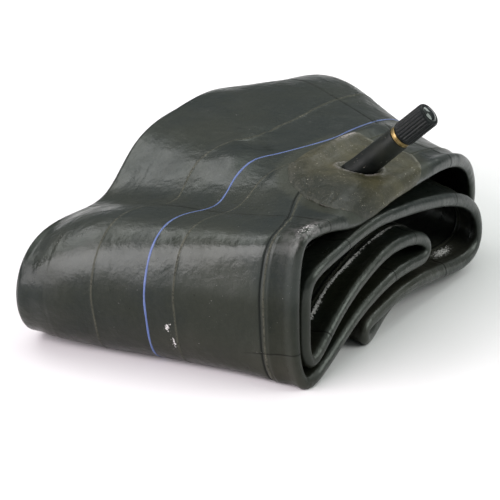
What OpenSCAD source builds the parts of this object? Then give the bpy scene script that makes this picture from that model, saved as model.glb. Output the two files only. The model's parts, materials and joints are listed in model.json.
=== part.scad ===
// Inner tube for a small wheel, squeezed flat and rolled into a packet, with a straight rubber-covered valve.
// Millimetres, +Z up. The origin lies on the floor, under the middle of the packet.

/* [Rubber] */
// Thickness of the flattened tube, two walls and the slit of air between them
ply_thick = 4.3; // [3.6:0.1:5]
// Radius of the rounded lip along both edges of the flattened tube
lip_r = 2.4; // [1.8:0.1:2.8]
// Wall thickness of the tube
wall = 1.65; // [1:0.05:2]
// Height of the swelling round the valve
valve_swell = 1; // [0:0.1:3]
// Thickness of the rubber patch under the valve
patch_thick = 0.7; // [0.4:0.1:1.5]
// Width of the coloured stripe along the middle of the tube
stripe_w = 1.3; // [0.8:0.1:3]

/* [Valve stem] */
// Outside radius of the rubber stem
stem_r = 5.25; // [4.5:0.05:6]
// Length of rubber stem above the tube
stem_len = 21.5; // [15:0.5:40]
// Radius of the moulded foot of the stem
foot_r = 8; // [6:0.5:12]
// Height of the foot above the tube
foot_h = 6.5; // [3:0.5:8]
// Radius of the air hole through the foot and the tube wall
air_r = 1.5; // [1:0.1:2.5]
// Outside radius of the brass thread that the cap screws on to
insert_r = 3.85; // [3.5:0.05:4.2]
// Length of the brass thread beyond its collar
insert_thread = 9.8; // [6:0.2:14]
// Radius of the brass collar between the rubber and the cap
collar_r = 4.9; // [4:0.1:5.2]
// Height of the brass collar
collar_h = 2; // [1:0.1:3]
// Radius of the bore that takes the valve core
bore_r = 2.65; // [2.4:0.05:2.9]

/* [Cap] */
// Outside radius of the cap over its ribs
cap_r = 5.4; // [5:0.05:6]
// Length of the ribbed part of the cap
cap_len = 15.6; // [10:0.2:18]
// Number of grip ribs
rib_count = 24; // [12:1:36]
// Radius of the domed button on the end of the cap
button_r = 4.1; // [3:0.1:4.5]

/* [Fits] */
// Running clearance on radius between screwed pieces
run = 0.06; // [0.02:0.01:0.1]

/* [Hidden] */
$fn = 48;
eps = 0.01;

// The run of the folded tube. Each row is a control point of a closed cubic B-spline, in order along it:
// [rim x, rim y, rim z, lip droop, tread x, tread y, tread z, crown]
// Rim and tread are the two edges of the flattened tube. x is 0 at the right end of the packet, and y is 0
// at its front.
fold = [
  // lower fold and bottom layer, front to back
  [2.4, 51.5, 1.6, 0, -124, 80, 1.4, 0],
  [0, 63, 2.1, 0, -123, 96, 2.1, 0],
  [-6, 84, 2.1, 0, -121, 120, 2.1, 0],
  [-10, 104, 2.1, 0, -118, 143, 2.1, 0],
  [-11, 124, 2.1, 0, -115, 167, 2.1, 0],
  [-12, 144, 2.0, 0, -112, 192, 2.0, 0],
  // up the back
  [-11, 164, 3.8, 0, -110, 215, 4.4, 0],
  [-9, 171, 18.5, 0, -110, 220, 21, 0],
  [-6, 164, 37.5, 0, -111, 212, 37, 6],
  // top layer, back to front, with the hump and the valley
  [-3, 147, 48.7, 0, -113, 194, 45.5, 11],
  [-1, 126, 55, 1, -116, 166, 51.5, 10],
  [0, 103, 59, 4, -118, 134, 59, 4],
  [0, 80, 61, 4, -120, 102, 62, 0],
  [0, 56, 63.5, 4, -122, 77, 58, 0],
  [0, 32, 64.5, 2, -124, 60, 36.5, 0],
  [0, 13, 65.3, 1, -126, 28, 41, 6],
  // down the front
  [1, -0.5, 66.3, 0, -127, 0, 43, 6],
  [-1, -1.5, 56, 0, -127, -13, 35, 4],
  [-2, -1.2, 40, 0, -127, -16, 24, 2],
  [-2, -1.2, 24, 0, -127, -13, 13.5, 1],
  [-1, -1.7, 10, 0, -127, -5, 6, 3],
  // front bottom roll and the lower layer of the inner fold
  [2.4, -1.0, 1.4, 0, -127, 8, 3.8, 2],
  [2.4, 9, 2.0, 0, -127, 25, 6, 0],
  [2.4, 26, 8.8, 0, -126, 46, 11.5, 0],
  [2.4, 42, 15.8, 0, -125, 68, 15.5, 0],
  [2.4, 60, 20.2, 0, -124, 90, 19.5, 0],
  [2.4, 79, 22.4, 0, -122, 115, 23.5, 0],
  [2.4, 94, 21.3, 0, -121, 137, 25.5, 0],
  // end of the inner fold
  [2.4, 105, 19.7, 0, -120, 151, 26, 0],
  [2.4, 109, 24.5, 0, -120, 155, 31, 0],
  [2.4, 102, 30, 0, -120, 148, 36, 0],
  // upper layer of the inner fold, back to front
  [2.4, 90, 33.6, 0, -121, 128, 36, 0],
  [2.4, 72, 35.8, 0, -123, 100, 31.5, 0],
  [2.4, 52, 31.8, 0, -124, 74, 24, 0],
  [2.4, 34, 25.8, 0, -126, 44, 18, 0],
  [2.4, 19, 17, 0, -127, 22, 12.2, 0],
  // inner front fold and up behind the front layer
  [1.5, 8, 7, 0, -127, 7, 10, 0],
  [0.5, 3.6, 13, 0, -127, -2, 12, 0],
  [0, 4.8, 26, 0, -127, -8.5, 18.5, 2],
  [0, 4.4, 38, 0, -127, -9, 26.5, 3],
  [1.5, 5.8, 47, 0, -127, -2, 34.5, 4],
  // second layer, front to back
  [2.4, 20, 49.5, 0, -126, 20, 35, 4],
  [2.4, 42, 51.3, 0, -125, 48, 30.8, 1],
  [2.4, 62, 52, 0, -123, 76, 35.5, 0],
  [2.4, 82, 48.4, 0, -120, 104, 46, 0],
  [2.4, 104, 44.2, 0, -118, 134, 49.5, 1],
  [2.4, 125, 38.8, 0, -115, 164, 47, 2],
  [2.4, 142, 32.5, 0, -113, 191, 40, 2],
  // inner back roll and forward to the lower fold
  [2.4, 154, 23, 0, -111, 210, 28, 1],
  [2.4, 155, 11, 1, -111, 211, 13, 0],
  [2.4, 145, 7.3, 3, -111, 198, 8, 0],
  [2.4, 127, 8.6, 2, -113, 176, 8, 0],
  [2.4, 104, 12.2, 1, -116, 150, 8.4, 0],
  [2.4, 82, 13, 0, -120, 124, 9.2, 0],
  [2.4, 63, 9.8, 0, -122, 98, 10.2, 0],
  [2.4, 51, 9.2, 0, -124, 79, 10, 0],
];
rows = len(fold);
origin_shift = [58, -101, 0];
// Width of the flattened tube, and how far in from the rim edge its lip droops, as a share of the width
lay_flat = 127;
droop_span = 0.13;
// Scales w^3 (1 - w), the crown's rise across the width, so that it peaks at 1
crown_peak = 9.48;
// Drawing steps along the tube, a row
steps = 3;
stations = rows * steps;
half = ply_thick / 2;
slit = half - wall;
slit_lip = lip_r - wall;

// Where the valve stands on the tube, in rows along it and as a share of the width, and how wide the
// swelling is
valve_row = 11.95;
valve_share = 0.15;
swell_rows = 0.9;
swell_share = 0.17;
patch_rows = 1.5;
patch_share = 0.235;
patch_rim_gap = 0.03;
patch_sink = 0.15;
// Bluntness of the patch's outline (2 is an ellipse), and how near its ends the first and last rows lie
patch_blunt = 2.6;
patch_end = 0.985;
// The stripe runs just past the middle of the width, and swings towards the rim over the back of the packet
stripe_share = 0.535;
stripe_swing = 0.1;
stripe_swing_row = 10;
stripe_swing_rows = 2.2;
stripe_proud = 0.12;
stripe_sink = 0.1;

function weights(t) = [
  pow(1 - t, 3) / 6,
  (3 * pow(t, 3) - 6 * t * t + 4) / 6,
  (-3 * pow(t, 3) + 3 * t * t + 3 * t + 1) / 6,
  pow(t, 3) / 6
];
function row_at(u) = let (i = floor(u), b = weights(u - i))
  b[0] * fold[(i + rows - 1) % rows] + b[1] * fold[(i + rows) % rows]
  + b[2] * fold[(i + rows + 1) % rows] + b[3] * fold[(i + rows + 2) % rows];
function droop(r, w) = r[3] * pow(max(0, 1 - w / droop_span), 2);
function flat_mid(r, w) = [
  r[0] * (1 - w) + r[4] * w,
  r[1] * (1 - w) + r[5] * w,
  r[2] * (1 - w) + r[6] * w - droop(r, w)
];
function outward(u, w) =
  let (d = flat_mid(row_at(u + 0.02), w) - flat_mid(row_at(u - 0.02), w), l = norm([d.y, d.z]))
  [0, d.z / l, -d.y / l];
// A point of the tube, at a distance h outward from the middle of its flattened thickness
function skin(u, w, h) =
  let (r = row_at(u), p = flat_mid(r, w) + outward(u, w) * (r[7] * crown_peak * pow(w, 3) * (1 - w) + h))
  [p.x, p.y, max(p.z, 0)] + origin_shift;
function bell(a) = exp(-a * a);
function swell(u, w) =
  valve_swell * bell((u - valve_row) / swell_rows) * bell((w - valve_share) / swell_share);
// The swelling lifts only the outer side of the top layer
function lift(u, w, h) = h > 0 ? swell(u, w) * min(1, h / half) : 0;

// Half of a section of the tube, from the rim edge to the tread edge: [distance across, half thickness]
across = [9, 17, 38, 63, 96];
function half_section(edge, bead, mid, corner) = concat(
  [[edge, 0]],
  corner ? [[edge + bead * (1 - cos(45)), bead * sin(45)]] : [],
  [[edge + bead, bead]],
  [for (t = across) [t, mid]],
  [[lay_flat - edge - bead, bead]],
  corner ? [[lay_flat - edge - bead * (1 - cos(45)), bead * sin(45)]] : [],
  [[lay_flat - edge, 0]]
);
function whole_section(s) = let (n = len(s)) concat(s, [for (i = [n - 2:-1:1]) [s[i][0], -s[i][1]]]);

// Closed ring of the section carried along the whole fold
module ring(section) {
  n = len(section);
  points = [
    for (k = [0:stations - 1]) for (s = section)
      let (u = k / steps, w = s[0] / lay_flat) skin(u, w, s[1] + lift(u, w, s[1]))
  ];
  faces = [
    for (k = [0:stations - 1]) for (i = [0:n - 1])
      let (k2 = (k + 1) % stations, i2 = (i + 1) % n)
      let (a = k * n + i, b = k * n + i2, c = k2 * n + i2, d = k2 * n + i)
      each [[a, c, b], [a, d, c]]
  ];
  polyhedron(points = points, faces = faces);
}

// Sheet lying on the tube's outer side between two grids of points, each [rows along][points across]
module sheet(under, over) {
  m = len(under);
  n = len(under[0]);
  top = m * n;
  points = concat([for (r = under) each r], [for (r = over) each r]);
  faces = concat(
    [for (i = [0:m - 2]) for (j = [0:n - 2])
      let (a = i * n + j) each [[a, a + n + 1, a + n], [a, a + 1, a + n + 1],
        [top + a, top + a + n, top + a + n + 1], [top + a, top + a + n + 1, top + a + 1]]],
    [for (i = [0:m - 2]) let (a = i * n, b = a + n)
      each [[a, top + b, top + a], [a, b, top + b]]],
    [for (i = [0:m - 2]) let (a = i * n + n - 1, b = a + n)
      each [[a, top + b, b], [a, top + a, top + b]]],
    [for (j = [0:n - 2]) each [[j, top + j + 1, j + 1], [j, top + j, top + j + 1]]],
    [for (j = [0:n - 2]) let (a = (m - 1) * n + j)
      each [[a, a + 1, top + a + 1], [a, top + a + 1, top + a]]]
  );
  polyhedron(points = points, faces = faces);
}

// Frame of the valve: its foot on the tube, and its axis leaning out over the rim edge
valve_lean = 46.9;
valve_turn = 10.3;
valve_foot = skin(valve_row, valve_share, half + swell(valve_row, valve_share));
module at_valve() translate(valve_foot) rotate([0, valve_lean, valve_turn]) children();
// Angle from the axis of the valve to the way the tube's surface faces, and the rim of the foot that lies
// on it
foot_lean = 14;
foot_rim = 0.9;
foot_sink = 0.6;
// Small step between the foot and the stem, and how far the stem reaches down into the foot
foot_step = 0.5;
stem_root = 1;

// Heights along the valve's axis, from the surface of the tube
root_depth = 2.4;
hole_over = 2;
insert_base = 7;
collar_base = stem_len;
thread_base = collar_base + collar_h;
insert_top = thread_base + insert_thread;
seat_top = 21.2;
seat_h = 1.6;
lower_bore_r = 2.05;
// Valve core, in its closed place
plug_top = insert_top - 1.4;
plug_thread = 4.6;
plug_neck = 1.2;
plug_neck_r = 1.9;
plug_base = plug_top - plug_thread - plug_neck;
// Width of the bridge left across the plug's head for the key, and how deep it is cut free
plug_bridge = 3.4;
plug_slot_depth = 1.6;
plug_hole_r = 1.3;
barrel_top = plug_base - 0.05;
barrel_r = 1.75;
barrel_hole_r = 1.35;
barrel_base = 16.4;
barrel_floor = 1.2;
pin_hole_r = 0.7;
seal_h = 1.5;
seal_gap = 0.03;
seal_base = seat_top - seat_h;
pin_r = 0.55;
pin_top = insert_top - 0.5;
pin_head_r = 1;
pin_head_h = 0.7;
shoulder_r = 1.15;
shoulder_h = 0.8;
shoulder_base = barrel_top - 1.6;
cup_r = 1.7;
cup_h = 1.6;
plunger_seal_h = 0.7;
plunger_seal_r = cup_r - 0.15;
seal_play = 0.02;
pin_base = barrel_base - plunger_seal_h - cup_h;
spring_wire = 0.14;
spring_r = 0.98;
spring_turns = 6;
spring_steps = 14;
spring_sides = 6;
// Room left at each end of the spring
spring_room = 0.02;
// Cap, in its closed place
cap_gap = 0.3;
cap_base = thread_base + cap_gap;
cap_top = cap_base + cap_len;
cap_thread_r = insert_r + run;
gasket_h = 1;
gasket_gap = 0.1;
gasket_hole_r = 2.8;
gasket_base = insert_top + gasket_gap;
chamber_r = 2.95;
chamber_top = cap_top - 1.3;
rib_depth = 0.35;
rib_w = 0.6;
rib_taper = 1.1;
rib_gap = 0.4;
rib_root = 0.35;
button_h = 1.1;
button_edge = 1;
button_drop = 0.25;
button_step = 0.3;

// Air hole through the outer wall and the patch, ending in the slit between the walls
module air_hole() at_valve()
  translate([0, 0, -root_depth - hole_over]) cylinder(r = air_r, h = root_depth + 2 * hole_over);

module tube_body() color([0.17, 0.18, 0.16]) difference() {
  ring(whole_section(half_section(0, lip_r, half, true)));
  ring(whole_section(half_section(wall, slit_lip, slit, false)));
  air_hole();
}

// Rubber patch under the valve, an oval with blunt ends that wraps towards the rim edge
patch_along = 12;
patch_across = 10;
function oval(a) = sqrt(max(0, 1 - pow(abs(a), patch_blunt)));
function patch_grid(h) = [
  for (i = [-patch_along:patch_along])
    let (a = i / patch_along * patch_end, reach = oval(a), u = valve_row + a * patch_rows)
    [for (j = [-patch_across:patch_across])
      let (w = valve_share + j / patch_across * reach * (j < 0 ? valve_share - patch_rim_gap : patch_share))
      skin(u, w, half + swell(u, w) + h)]
];
module valve_patch() color([0.26, 0.25, 0.19]) difference() {
  sheet(patch_grid(-patch_sink), patch_grid(patch_thick));
  air_hole();
}

stripe_half = stripe_w / 2 / lay_flat;
function stripe_at(u) = stripe_share - stripe_swing * bell((u - stripe_swing_row) / stripe_swing_rows);
module colour_stripe() color([0.22, 0.36, 0.66]) {
  points = [
    for (k = [0:stations - 1]) let (u = k / steps, w = stripe_at(u)) each [
      skin(u, w - stripe_half, half - stripe_sink),
      skin(u, w - stripe_half, half + stripe_proud),
      skin(u, w + stripe_half, half + stripe_proud),
      skin(u, w + stripe_half, half - stripe_sink)
    ]
  ];
  faces = [
    for (k = [0:stations - 1]) for (i = [0:3])
      let (k2 = (k + 1) % stations, i2 = (i + 1) % 4)
      let (a = k * 4 + i, b = k * 4 + i2, c = k2 * 4 + i2, d = k2 * 4 + i)
      each [[a, c, b], [a, d, c]]
  ];
  polyhedron(points = points, faces = faces);
}

// Rubber stem moulded over the brass insert, with a foot that lies on the patch
module valve_stem() color([0.13, 0.13, 0.12]) at_valve() difference() {
  union() {
    hull() {
      rotate([0, -foot_lean, 0]) translate([0, 0, -foot_sink]) cylinder(r = foot_r, h = foot_rim, $fn = 32);
      cylinder(r = stem_r + foot_step, h = foot_h, $fn = 32);
    }
    translate([0, 0, foot_h - stem_root]) cylinder(r = stem_r, h = stem_len - foot_h + stem_root);
  }
  translate([0, 0, -root_depth]) cylinder(r = air_r, h = insert_base + root_depth + eps);
  translate([0, 0, insert_base]) cylinder(r = insert_r, h = stem_len);
}

// Brass tube inside the stem, threaded outside for the cap and inside for the valve core
module stem_insert() color([0.78, 0.62, 0.3]) at_valve() difference() {
  union() {
    translate([0, 0, insert_base]) cylinder(r = insert_r, h = insert_top - insert_base);
    translate([0, 0, collar_base]) cylinder(r = collar_r, h = collar_h);
  }
  translate([0, 0, insert_base - 1]) cylinder(r = lower_bore_r, h = seat_top - insert_base);
  translate([0, 0, seal_base]) cylinder(r1 = lower_bore_r, r2 = bore_r, h = seat_h);
  translate([0, 0, seat_top - eps]) cylinder(r = bore_r, h = insert_top);
}

// Screwed head of the valve core, slotted across for the key
module core_plug() color([0.8, 0.66, 0.34]) at_valve() difference() {
  union() {
    translate([0, 0, plug_base]) cylinder(r = plug_neck_r, h = plug_neck + eps);
    translate([0, 0, plug_base + plug_neck]) cylinder(r = bore_r - run, h = plug_thread);
  }
  translate([0, 0, plug_base - 1]) cylinder(r = plug_hole_r, h = insert_top);
  for (side = [-1, 1])
    translate([side * (plug_bridge + bore_r) / 2, 0, plug_top - plug_slot_depth / 2 + eps])
      cube([bore_r, 2 * bore_r, plug_slot_depth], center = true);
}

// Barrel of the valve core, closed below by a floor that the plunger seals against
module core_barrel() color([0.74, 0.6, 0.3]) at_valve() difference() {
  translate([0, 0, barrel_base]) cylinder(r = barrel_r, h = barrel_top - barrel_base);
  translate([0, 0, barrel_base + barrel_floor]) cylinder(r = barrel_hole_r, h = barrel_top);
  translate([0, 0, barrel_base - 1]) cylinder(r = pin_hole_r, h = barrel_floor + 2);
}

// Sealing ring on the barrel, seated in the cone of the insert
module barrel_seal() color([0.6, 0.16, 0.12]) at_valve() difference() {
  translate([0, 0, seal_base + seal_gap]) cylinder(
    r1 = lower_bore_r - seal_gap,
    r2 = lower_bore_r - seal_gap + (bore_r - lower_bore_r) * seal_h / seat_h,
    h = seal_h
  );
  translate([0, 0, seal_base - 1]) cylinder(r = barrel_r, h = seal_h + 3);
}

// Pin of the valve core, pressed down to let air through
module core_pin() color([0.83, 0.72, 0.42]) at_valve() {
  translate([0, 0, pin_base]) cylinder(r = pin_r, h = pin_top - pin_base);
  translate([0, 0, pin_top - pin_head_h]) cylinder(r = pin_head_r, h = pin_head_h);
  translate([0, 0, shoulder_base]) cylinder(r = shoulder_r, h = shoulder_h);
}

module plunger_cup() color([0.76, 0.62, 0.32]) at_valve() difference() {
  translate([0, 0, pin_base]) cylinder(r = cup_r, h = cup_h);
  translate([0, 0, pin_base - 1]) cylinder(r = pin_r, h = cup_h + 2);
}

module plunger_seal() color([0.1, 0.1, 0.1]) at_valve() difference() {
  translate([0, 0, pin_base + cup_h]) cylinder(r = plunger_seal_r, h = plunger_seal_h - seal_play);
  translate([0, 0, pin_base]) cylinder(r = pin_r, h = cup_h + 2 * plunger_seal_h);
}

// Coil spring round the pin, from the floor of the barrel to the shoulder of the pin
module core_spring() color([0.7, 0.71, 0.72]) at_valve() {
  from = barrel_base + barrel_floor + spring_wire + spring_room;
  rise = shoulder_base - spring_wire - spring_room - from;
  n = spring_turns * spring_steps;
  points = [
    for (k = [0:n]) for (i = [0:spring_sides - 1])
      let (a = 360 * k / spring_steps, b = 360 * i / spring_sides, r = spring_r + spring_wire * cos(b))
      [r * cos(a), r * sin(a), from + rise * k / n + spring_wire * sin(b)]
  ];
  faces = concat(
    [for (k = [0:n - 1]) for (i = [0:spring_sides - 1])
      let (i2 = (i + 1) % spring_sides, a = k * spring_sides, b = a + spring_sides)
      each [[a + i, a + i2, b + i2], [a + i, b + i2, b + i]]],
    [[for (i = [spring_sides - 1:-1:0]) i]],
    [[for (i = [0:spring_sides - 1]) n * spring_sides + i]]
  );
  polyhedron(points = points, faces = faces);
}

// Plastic dust cap, ribbed for grip and ending in a round button
module cap_shell() color([0.07, 0.07, 0.08]) at_valve() difference() {
  union() {
    rotate_extrude() polygon([
      [0, cap_base],
      [cap_r - rib_depth, cap_base],
      [cap_r - rib_depth, cap_top - rib_taper],
      [button_r + button_step, cap_top],
      [button_r, cap_top],
      [button_r, cap_top + button_h - button_edge],
      [button_r - button_edge, cap_top + button_h - button_drop],
      [button_r - 2 * button_edge, cap_top + button_h],
      [0, cap_top + button_h]
    ]);
    for (i = [0:rib_count - 1]) rotate([0, 0, 360 * i / rib_count])
      translate([cap_r - rib_depth - rib_root, -rib_w / 2, cap_base + rib_gap])
        cube([rib_depth + rib_root, rib_w, cap_len - 2 * rib_gap - rib_taper]);
  }
  translate([0, 0, cap_base - 1])
    cylinder(r = cap_thread_r, h = gasket_base + gasket_h + seal_play - cap_base + 1);
  translate([0, 0, cap_base]) cylinder(r = chamber_r, h = chamber_top - cap_base);
}

module cap_gasket() color([0.15, 0.15, 0.15]) at_valve() difference() {
  translate([0, 0, gasket_base]) cylinder(r = cap_thread_r - seal_gap, h = gasket_h);
  translate([0, 0, gasket_base - 1]) cylinder(r = gasket_hole_r, h = gasket_h + 2);
}

tube_body();
colour_stripe();
valve_patch();
valve_stem();
stem_insert();
core_plug();
core_barrel();
barrel_seal();
core_pin();
plunger_cup();
plunger_seal();
core_spring();
cap_shell();
cap_gasket();
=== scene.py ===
"""Looks of an inner tube squeezed flat and rolled into a packet, with its valve. Metres, +Z up, the CAD frame."""

import json
import math

import bpy
import numpy as np
from mathutils import Matrix, Vector


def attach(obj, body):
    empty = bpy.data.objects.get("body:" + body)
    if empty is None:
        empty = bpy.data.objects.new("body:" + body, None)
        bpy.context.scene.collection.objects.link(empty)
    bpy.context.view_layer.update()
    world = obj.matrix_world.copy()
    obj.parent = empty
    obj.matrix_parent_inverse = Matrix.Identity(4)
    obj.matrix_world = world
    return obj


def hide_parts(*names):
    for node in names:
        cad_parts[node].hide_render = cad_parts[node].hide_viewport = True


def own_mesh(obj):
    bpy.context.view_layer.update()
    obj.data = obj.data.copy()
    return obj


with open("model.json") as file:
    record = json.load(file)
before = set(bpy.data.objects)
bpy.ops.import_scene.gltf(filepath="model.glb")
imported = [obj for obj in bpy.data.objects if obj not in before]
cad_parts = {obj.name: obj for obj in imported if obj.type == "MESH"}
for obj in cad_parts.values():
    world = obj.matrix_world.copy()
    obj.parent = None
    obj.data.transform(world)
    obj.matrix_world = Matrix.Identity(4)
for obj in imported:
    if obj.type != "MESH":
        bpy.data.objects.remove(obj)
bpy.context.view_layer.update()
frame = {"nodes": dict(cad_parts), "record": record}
MM = 0.001

# ---------------------------------------------------------------- the run of the folded tube, in millimetres

# Control points of a closed cubic B-spline along the tube, the same fold as the CAD part has:
# rim x, rim y, rim z, lip droop, tread x, tread y, tread z, crown
FOLD = np.array([
    # lower fold and bottom layer, front to back
    [2.4, 51.5, 1.6, 0, -124, 80, 1.4, 0],
    [0, 63, 2.1, 0, -123, 96, 2.1, 0],
    [-6, 84, 2.1, 0, -121, 120, 2.1, 0],
    [-10, 104, 2.1, 0, -118, 143, 2.1, 0],
    [-11, 124, 2.1, 0, -115, 167, 2.1, 0],
    [-12, 144, 2.0, 0, -112, 192, 2.0, 0],
    # up the back
    [-11, 164, 3.8, 0, -110, 215, 4.4, 0],
    [-9, 171, 18.5, 0, -110, 220, 21, 0],
    [-6, 164, 37.5, 0, -111, 212, 37, 6],
    # top layer, back to front, with the hump and the valley
    [-3, 147, 48.7, 0, -113, 194, 45.5, 11],
    [-1, 126, 55, 1, -116, 166, 51.5, 10],
    [0, 103, 59, 4, -118, 134, 59, 4],
    [0, 80, 61, 4, -120, 102, 62, 0],
    [0, 56, 63.5, 4, -122, 77, 58, 0],
    [0, 32, 64.5, 2, -124, 60, 36.5, 0],
    [0, 13, 65.3, 1, -124.8, 28, 41, 6],
    # down the front
    [1, -0.5, 66.3, 0, -124.6, 0, 43, 6],
    [-1, -1.5, 56, 0, -124.6, -13, 35, 4],
    [-2, -1.2, 40, 0, -124.8, -16, 24, 2],
    [-2, -1.2, 24, 0, -124.8, -13, 13.5, 1],
    [-1, -1.7, 10, 0, -125, -5, 6, 3],
    # front bottom roll and the lower layer of the inner fold
    [2.4, -1.0, 1.4, 0, -127, 8, 3.8, 2],
    [2.4, 9, 2.0, 0, -127, 25, 6, 0],
    [2.4, 26, 8.8, 0, -126, 46, 11.5, 0],
    [2.4, 42, 15.8, 0, -125, 68, 15.5, 0],
    [2.4, 60, 20.2, 0, -124, 90, 19.5, 0],
    [2.4, 79, 22.4, 0, -122, 115, 23.5, 0],
    [2.4, 94, 21.3, 0, -121, 137, 25.5, 0],
    # end of the inner fold
    [2.4, 105, 19.7, 0, -120, 151, 26, 0],
    [2.4, 109, 24.5, 0, -120, 155, 31, 0],
    [2.4, 102, 30, 0, -120, 148, 36, 0],
    # upper layer of the inner fold, back to front
    [2.4, 90, 33.6, 0, -121, 128, 36, 0],
    [2.4, 72, 35.8, 0, -123, 100, 31.5, 0],
    [2.4, 52, 31.8, 0, -124, 74, 24, 0],
    [2.4, 34, 25.8, 0, -126, 44, 18, 0],
    [2.4, 19, 17, 0, -127, 22, 12.2, 0],
    # inner front fold and up behind the front layer
    [1.5, 8, 7, 0, -127, 7, 10, 0],
    [0.5, 3.6, 13, 0, -127, -2, 12, 0],
    [0, 4.8, 26, 0, -127, -8.5, 18.5, 2],
    [0, 4.4, 38, 0, -127, -9, 26.5, 3],
    [1.5, 5.8, 47, 0, -127, -2, 34.5, 4],
    # second layer, front to back
    [2.4, 20, 49.5, 0, -126, 20, 35, 4],
    [2.4, 42, 51.3, 0, -125, 48, 30.8, 1],
    [2.4, 62, 52, 0, -123, 76, 35.5, 0],
    [2.4, 82, 48.4, 0, -120, 104, 46, 0],
    [2.4, 104, 44.2, 0, -118, 134, 49.5, 1],
    [2.4, 125, 38.8, 0, -115, 164, 47, 2],
    [2.4, 142, 32.5, 0, -113, 191, 40, 2],
    # inner back roll and forward to the lower fold
    [2.4, 154, 23, 0, -111, 210, 28, 1],
    [2.4, 155, 11, 1, -111, 211, 13, 0],
    [2.4, 145, 7.3, 3, -111, 198, 8, 0],
    [2.4, 127, 8.6, 2, -113, 176, 8, 0],
    [2.4, 104, 12.2, 1, -116, 150, 8.4, 0],
    [2.4, 82, 13, 0, -120, 124, 9.2, 0],
    [2.4, 63, 9.8, 0, -122, 98, 10.2, 0],
    [2.4, 51, 9.2, 0, -124, 79, 10, 0],
])
ROWS = len(FOLD)
ORIGIN = np.array([58, -101, 0])
LAY_FLAT = 127
DROOP_SPAN = 0.13
CROWN_PEAK = 9.48
# The rim hangs lower than the CAD part's beside the valve's patch
SAG, SAG_ROW = 5.0, 13.3
HALF = 2.15
LIP_R = 2.4
RIM_R = 2.9

# Where the valve stands, in rows along the tube and as a share of its width
VALVE_ROW, VALVE_SHARE = 11.95, 0.15
SWELL = 1
SWELL_ROWS, SWELL_SHARE = 0.9, 0.17
VALVE_ROW_LENGTH = 23
CRATER = 2.9
# The patch under it: reach in rows, share of the width up the top layer and round the rim's lip, and its outline
PATCH_ROWS, PATCH_SHARE, PATCH_WRAP = 1.5, 0.235, 0.18
PATCH_BLUNT, PATCH_END = 2.6, 0.985
PATCH_THICK, PATCH_EDGE, PATCH_SINK = 0.7, 0.16, 0.3


def bell(a):
    return np.exp(-a * a)


def ease(a, low, high):
    """0 below low, 1 above high, smooth between them."""
    t = np.clip((a - low) / (high - low), 0, 1)
    return t * t * (3 - 2 * t)


def row_at(u):
    """Values of the fold at u rows along the tube."""
    i = np.floor(u).astype(int)
    t = (u - i)[..., None]
    return ((1 - t) ** 3 * FOLD[(i - 1) % ROWS] + (3 * t**3 - 6 * t**2 + 4) * FOLD[i % ROWS]
            + (-3 * t**3 + 3 * t**2 + 3 * t + 1) * FOLD[(i + 1) % ROWS] + t**3 * FOLD[(i + 2) % ROWS]) / 6


def flat_mid(u, w):
    row = row_at(u)
    w = w[..., None]
    mid = row[..., 0:3] * (1 - w) + row[..., 4:7] * w
    droop = row[..., 3] + SAG * bell((u - SAG_ROW) / 0.95)
    mid[..., 2] -= droop * np.maximum(0, 1 - w[..., 0] / DROOP_SPAN) ** 2
    return mid


def outward(u, w):
    along = flat_mid(u + 0.02, w) - flat_mid(u - 0.02, w)
    length = np.hypot(along[..., 1], along[..., 2])
    return np.stack([0 * length, along[..., 2] / length, -along[..., 1] / length], -1)


def skin(u, w, h):
    """Point of the tube u rows along it, at share w of its width, h outward from the middle of its thickness."""
    u, w, h = np.broadcast_arrays(np.asarray(u, float), np.asarray(w, float), np.asarray(h, float))
    crown = row_at(u)[..., 7] * CROWN_PEAK * w**3 * (1 - w)
    point = flat_mid(u, w) + outward(u, w) * (crown + h)[..., None]
    point[..., 2] = np.maximum(point[..., 2], 0)
    return (point + ORIGIN) * MM


def swell(u, w):
    return SWELL * bell((u - VALVE_ROW) / SWELL_ROWS) * bell((w - VALVE_SHARE) / SWELL_SHARE)


# ---------------------------------------------------------------- the valve's own frame

record = frame["record"]
stem_mount = next(m for m in record["mounts"] if m["name"] == "stem")
STEM_MID = 14.0 * MM
valve_axis = Vector(stem_mount["axis"]).normalized()
valve_foot = Vector(stem_mount["pos_m"]) - STEM_MID * valve_axis
valve_side = Vector((0, 0, 1)).cross(valve_axis).normalized()
valve_down = valve_side.cross(valve_axis)
VALVE = Matrix.Translation(valve_foot) @ Matrix((valve_down, valve_side, valve_axis)).transposed().to_4x4()


def from_axis(points):
    """Distance of points from the valve's axis, in millimetres."""
    arm = points - np.array(valve_foot)
    axis = np.array(valve_axis)
    return np.linalg.norm(arm - (arm @ axis)[..., None] * axis, axis=-1) / MM


# ---------------------------------------------------------------- meshes

def add_mesh(name, points, faces, attributes=None):
    """Smooth mesh object whose faces look outward. Each attribute holds one number or three for every point."""
    points = np.asarray(points, float).reshape(-1, 3)
    mesh = bpy.data.meshes.new(name)
    mesh.from_pydata(points.tolist(), [], faces)
    for key, values in (attributes or {}).items():
        kind = "FLOAT_VECTOR" if values.ndim == 2 else "FLOAT"
        layer = mesh.attributes.new(key, kind, "POINT")
        layer.data.foreach_set("vector" if kind == "FLOAT_VECTOR" else "value", values.astype(np.float32).ravel())
    mesh.polygons.foreach_set("use_smooth", [True] * len(mesh.polygons))
    mesh.update()
    mesh.calc_loop_triangles()
    corners = np.empty(3 * len(mesh.loop_triangles), np.int32)
    mesh.loop_triangles.foreach_get("vertices", corners)
    a, b, c = points[corners].reshape(-1, 3, 3).transpose(1, 0, 2)
    if np.einsum("ij,ij->", a, np.cross(b, c)) < 0:
        mesh.flip_normals()
    piece = bpy.data.objects.new(name, mesh)
    bpy.context.scene.collection.objects.link(piece)
    return piece


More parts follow.
